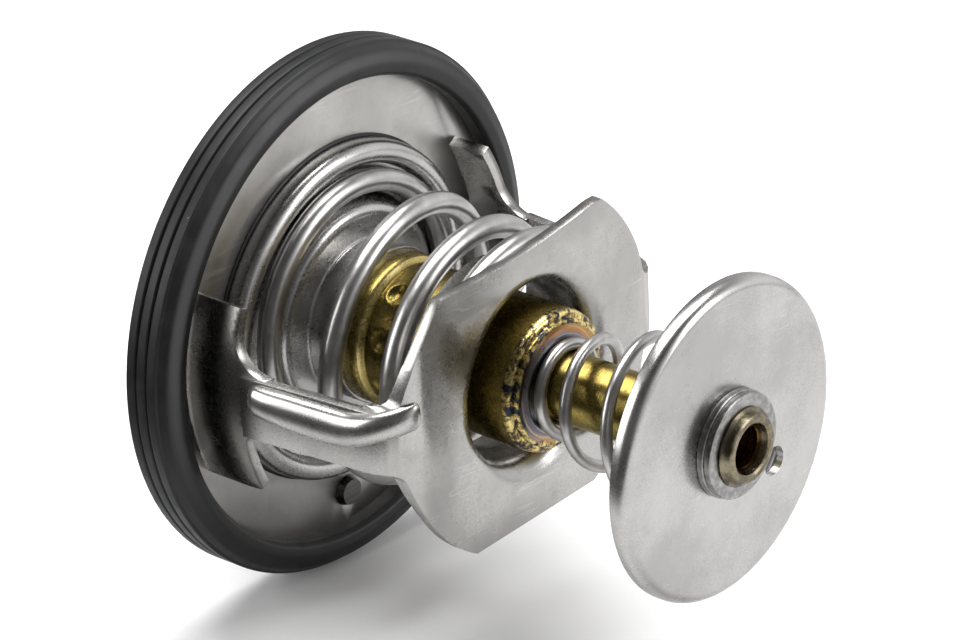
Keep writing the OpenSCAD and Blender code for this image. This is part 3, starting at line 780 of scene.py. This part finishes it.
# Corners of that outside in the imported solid, and the rod that makes its plain bead
leg_corners = [Vector(p) for p in [
    (9.25, 26.863), (26.6, 25.242), (28.0, 24.935), (29.32, 24.277), (30.44, 23.316),
    (31.29, 22.112), (31.82, 20.736)]]
leg_faces = [(a, Vector((a.y - b.y, b.x - a.x)).normalized())
             for a, b in zip(leg_corners, leg_corners[1:])]
ROD_START, ROD_END, ROD_R, ROD_Z = Vector((12.35, 25.87)), Vector((29.4, 24.277)), 2.6, 1.3
SKIN_FROM, SKIN_TO = 2.0, 2.75
FAR_AWAY = 99.0
SUNK = 0.15


def on_leg(s, z, height, side):
    """A point above the outside of a leg: s runs along it and on round the bend, in millimetres."""
    if s <= BEND_X:
        x, y = s, LEG_OUT - LEG_LEAN * (s - LEG_FOOT) + height
    else:
        a = (s - BEND_X) / BEND_R
        x, y = BEND_X + (BEND_R + height) * math.sin(a), BEND_Y + (BEND_R + height) * math.cos(a)
    return frame_turn @ Vector((x, side * y, -side * z)) * MM


def leg_place(v):
    """Where a point is on a leg.

    Its side of the frame, its place in the leg's plane, its z, how far out of the sheet it
    is and in which direction, and its distance from the middle of the rod."""
    x, y, z = frame_turn.transposed() @ v.co / MM
    side = 1 if y > 0 else -1
    flat = Vector((x, y * side))
    start, normal = max(leg_faces, key=lambda face: (flat - face[0]).dot(face[1]))
    rod = (ROD_END - ROD_START).normalized()
    share = max(0.0, min((flat - ROD_START).dot(rod), (ROD_END - ROD_START).length))
    reach = math.hypot((flat - ROD_START - rod * share).length, -z * side - ROD_Z)
    by_leg = x > 9.5 and flat.y > 20.5
    return side, flat, z, (flat - start).dot(normal), normal, reach if by_leg else FAR_AWAY


def on_plain_bead(out, reach):
    return SKIN_FROM < reach < SKIN_TO and out > 0.01


def put_on_leg(v, side, flat, z):
    v.co = frame_turn @ Vector((flat.x, side * flat.y, z)) * MM


def take_off_near_bead(bm):
    """Takes the plain bead off the near leg, where a shaped one goes, and closes the sheet."""
    gone = []
    for v in bm.verts:
        side, flat, z, out, normal, reach = leg_place(v)
        if side < 0 and on_plain_bead(out, reach):
            gone.append(v)
        elif side < 0 and reach < SKIN_FROM and out > -SUNK:
            put_on_leg(v, side, flat - normal * (out + SUNK), z)
    bmesh.ops.delete(bm, geom=gone, context="VERTS")
    edges = [e for e in bm.edges if e.is_boundary]
    open_verts = list(dict.fromkeys(v for e in edges for v in e.verts))
    for corner in leg_corners[1:]:
        pair = [v for v in open_verts if (leg_place(v)[1] - corner).length < 0.02]
        if len(pair) == 2:
            edges.append(bm.edges.new(pair))
    bmesh.ops.edgenet_fill(bm, edges=edges)
    bmesh.ops.recalc_face_normals(bm, faces=bm.faces)


def sink_far_bead(bm):
    """Lets the far bead end before the bend."""
    skin = []
    for v in bm.verts:
        side, flat, z, out, normal, reach = leg_place(v)
        if side > 0 and on_plain_bead(out, reach):
            skin.append(v)
    # Lists and no sets, so that the cut comes out the same each time
    faces = list(dict.fromkeys(f for v in skin for f in v.link_faces))
    edges = list(dict.fromkeys(e for f in faces for e in f.edges))
    verts = list(dict.fromkeys(v for f in faces for v in f.verts))
    cut_at = Vector((23.5 * MM, 0, 0))
    bmesh.ops.bisect_plane(bm, geom=verts + edges + faces, plane_co=cut_at, plane_no=(1, 0, 0))
    for v in bm.verts:
        side, flat, z, out, normal, reach = leg_place(v)
        if side > 0 and flat.x > 25.9 and on_plain_bead(out, reach):
            drop = math.sqrt(max(BEND_R ** 2 - (flat.x - BEND_X) ** 2, 0.0))
            deep = max(BEND_R - drop - 0.7, 0.0)
            widest = math.sqrt(max(ROD_R ** 2 - max(flat.x - ROD_END.x, 0.0) ** 2, 0.01))
            edge = math.sqrt(max(widest ** 2 - deep ** 2, 0.0))
            put_on_leg(v, side, flat - normal * out, (z + ROD_Z) * edge / widest * 0.9 - ROD_Z)


def through(a, b, c, d, t):
    """A smooth line from b to c, with a before and d after them."""
    return 0.5 * (2 * b + (c - a) * t + (2 * a - 5 * b + 4 * c - d) * t * t
                  + (3 * b - a - 3 * c + d) * t ** 3)


def bead(name, stations, side):
    """A rounded bead on a leg: stations of (place along, low edge, high edge, height)."""
    steps, across, crown, wall, seated = 110, 20, 0.42, 0.6, 0.05
    over = [math.cos(math.pi * j / across) for j in range(across + 1)]
    under = (-0.86, -0.5, 0.0, 0.5, 0.86)
    first, last = stations[0][0], stations[-1][0]
    rows = []
    for i in range(steps + 1):
        s = first + (last - first) * (1 - math.cos(math.pi * i / steps)) / 2
        k = max(j for j in range(len(stations) - 1) if stations[j][0] <= s + 1e-9)
        four = [stations[max(k - 1, 0)], stations[k], stations[k + 1],
                stations[min(k + 2, len(stations) - 1)]]
        t = (s - four[1][0]) / (four[2][0] - four[1][0])
        low, high, height = (through(*(station[c] for station in four), t) for c in (1, 2, 3))
        middle, half, height = (low + high) / 2, (high - low) / 2, max(height, 0.0)
        outer = [(u, height * (1 - u * u) ** crown - seated) for u in over]
        inner = [(u, max(height * (1 - u * u) ** crown - wall, -0.06)) for u in under]
        rows.append([on_leg(s, middle + u * half, out, side) for u, out in outer + inner])
    bm = bmesh.new()
    rings = [[bm.verts.new(p) for p in row] for row in rows]
    count = len(rings[0])
    for a, b in zip(rings, rings[1:]):
        for j in range(count):
            bm.faces.new((a[j], a[(j + 1) % count], b[(j + 1) % count], b[j]))
    bm.faces.new(rings[0])
    bm.faces.new(rings[-1][::-1])
    return piece(name, closed_mesh(name, bm), strip_steel, "frame", (), 60.0)


NEAR_BEAD = [
    (10.5, 1.2, 3.0, 0.0), (10.9, 0.3, 3.7, 0.9), (11.8, 0.0, 4.0, 1.4), (13.5, -0.15, 4.05, 1.65),
    (16.5, -0.5, 4.05, 1.7), (22.3, -0.8, 3.95, 1.7), (25.0, -0.5, 4.0, 1.7),
    (27.0, 0.3, 4.35, 1.6), (28.8, 1.1, 4.8, 1.45), (30.5, 1.6, 5.2, 1.3), (32.0, 2.0, 5.5, 1.2),
    (33.0, 2.3, 5.6, 0.95), (33.5, 2.8, 5.3, 0.6), (33.75, 3.4, 4.8, 0.0)]

eased("lower_frame", strip_steel, before=take_off_near_bead, after=sink_far_bead)
bead("near_leg_bead", NEAR_BEAD, -1)
eased("upper_frame", strip_steel)
eased("flange_plate", plate_steel)

# The pieces whose CAD form stays

kept = {"piston": pin_steel, "valve_seal": rubber, "element_guide": guide_brass,
        "wax_charge": wax, "rubber_sleeve": rubber, "sleeve_washer": plastic,
        "vent_pin": dull_pin_steel}
for node, finish in kept.items():
    nodes[node].data.materials.clear()
    nodes[node].data.materials.append(finish)

# Floor, lights and camera

def floor_finish():
    """White; dark on the left where metal mirrors it; plain white for the camera far out."""
    f = Finish("floor_white")
    f.tree.nodes.remove(f.shader)
    left = (f.y * -1 - f.x * 0.25).between(35.0, 80.0)
    mirrored = f.mixed(left, (0.66, 0.66, 0.66), (0.035, 0.035, 0.035))
    gloss = f.add("ShaderNodeLightPath", out=GLOSSY_RAY)
    tone = f.mixed(gloss, (0.93, 0.93, 0.93), mirrored)
    lit = f.add("ShaderNodeBsdfDiffuse", {}, {"Color": tone})
    plain = f.add("ShaderNodeEmission", {}, {"Color": (1, 1, 1, 1), "Strength": 1.0})
    far = f.radius.most(f.x.sum("ABSOLUTE")).between(110.0, 260.0)
    seen = f.add("ShaderNodeLightPath", out=CAMERA_RAY)
    both = f.add("ShaderNodeMixShader", {}, {0: seen * far, 1: lit, 2: plain})
    f.tree.links.new(both.socket, f.tree.nodes["Material Output"].inputs["Surface"])
    return f.material


FLOOR_REACH, FLOOR_Z = 6, -0.0338
floor_mesh = bpy.data.meshes.new("floor")
floor_mesh.from_pydata([(x * FLOOR_REACH, y * FLOOR_REACH, FLOOR_Z)
                        for x, y in ((-1, -1), (1, -1), (1, 1), (-1, 1))], [], [(0, 1, 2, 3)])
floor = placed("floor", floor_mesh)
floor_mesh.materials.append(floor_finish())


def facing(direction):
    """The turn that points a lamp or the camera in a direction."""
    return Vector(direction).to_track_quat("-Z", "Y").to_euler()


def lamp(name, place, size, power):
    """A softbox aimed at the middle of the part."""
    data = bpy.data.lights.new(name, "AREA")
    data.shape = "RECTANGLE"
    data.size, data.size_y = size
    data.energy = power
    obj = placed(name, data)
    obj.location = place
    obj.rotation_euler = facing(Vector((0.02, 0.0, 0.0)) - Vector(place))


lamp("top_softbox", (-0.10, 0.05, 0.55), (0.5, 0.35), 4.6)
lamp("left_softbox", (-0.35, -0.45, 0.22), (0.3, 0.4), 1.5)
lamp("right_softbox", (0.55, 0.25, 0.3), (0.25, 0.4), 1.6)


def studio_air():
    """White for the camera, a soft even light, and a bright right side in reflections."""
    world = bpy.data.worlds.new("studio")
    bpy.context.scene.world = world
    world.use_nodes = True
    bench = Bench(world.node_tree)
    back = world.node_tree.nodes["Background"]
    seen, gloss, passing = (bench.add("ShaderNodeLightPath", out=ray)
                            for ray in (CAMERA_RAY, GLOSSY_RAY, TRANSMISSION_RAY))
    x, y, up = bench.parts(bench.add("ShaderNodeTexCoord"))
    right = (x * 0.55 + y * 0.8).between(-0.1, 0.95)
    backdrop = 0.1 + right * 0.95
    overhead = 1 - up.between(0.35, 0.9) * 0.75
    mirrored = gloss.most(passing) * backdrop * overhead
    strength = seen.most(mirrored).most(0.45 - gloss * 0.45)
    bench.tree.links.new(strength.socket, back.inputs["Strength"])
    back.inputs["Color"].default_value = (1, 1, 1, 1)


studio_air()

camera_data = bpy.data.cameras.new("camera")
camera_data.sensor_width = 36
camera_data.lens = 187.5
camera_data.clip_start = 0.01
camera = placed("camera", camera_data)
camera.location = (0.3663, -0.41546, 0.2470)
camera.rotation_euler = facing((-0.5808, 0.7032, -0.4102))
bpy.context.scene.camera = camera
bpy.context.scene.view_settings.view_transform = "Standard"
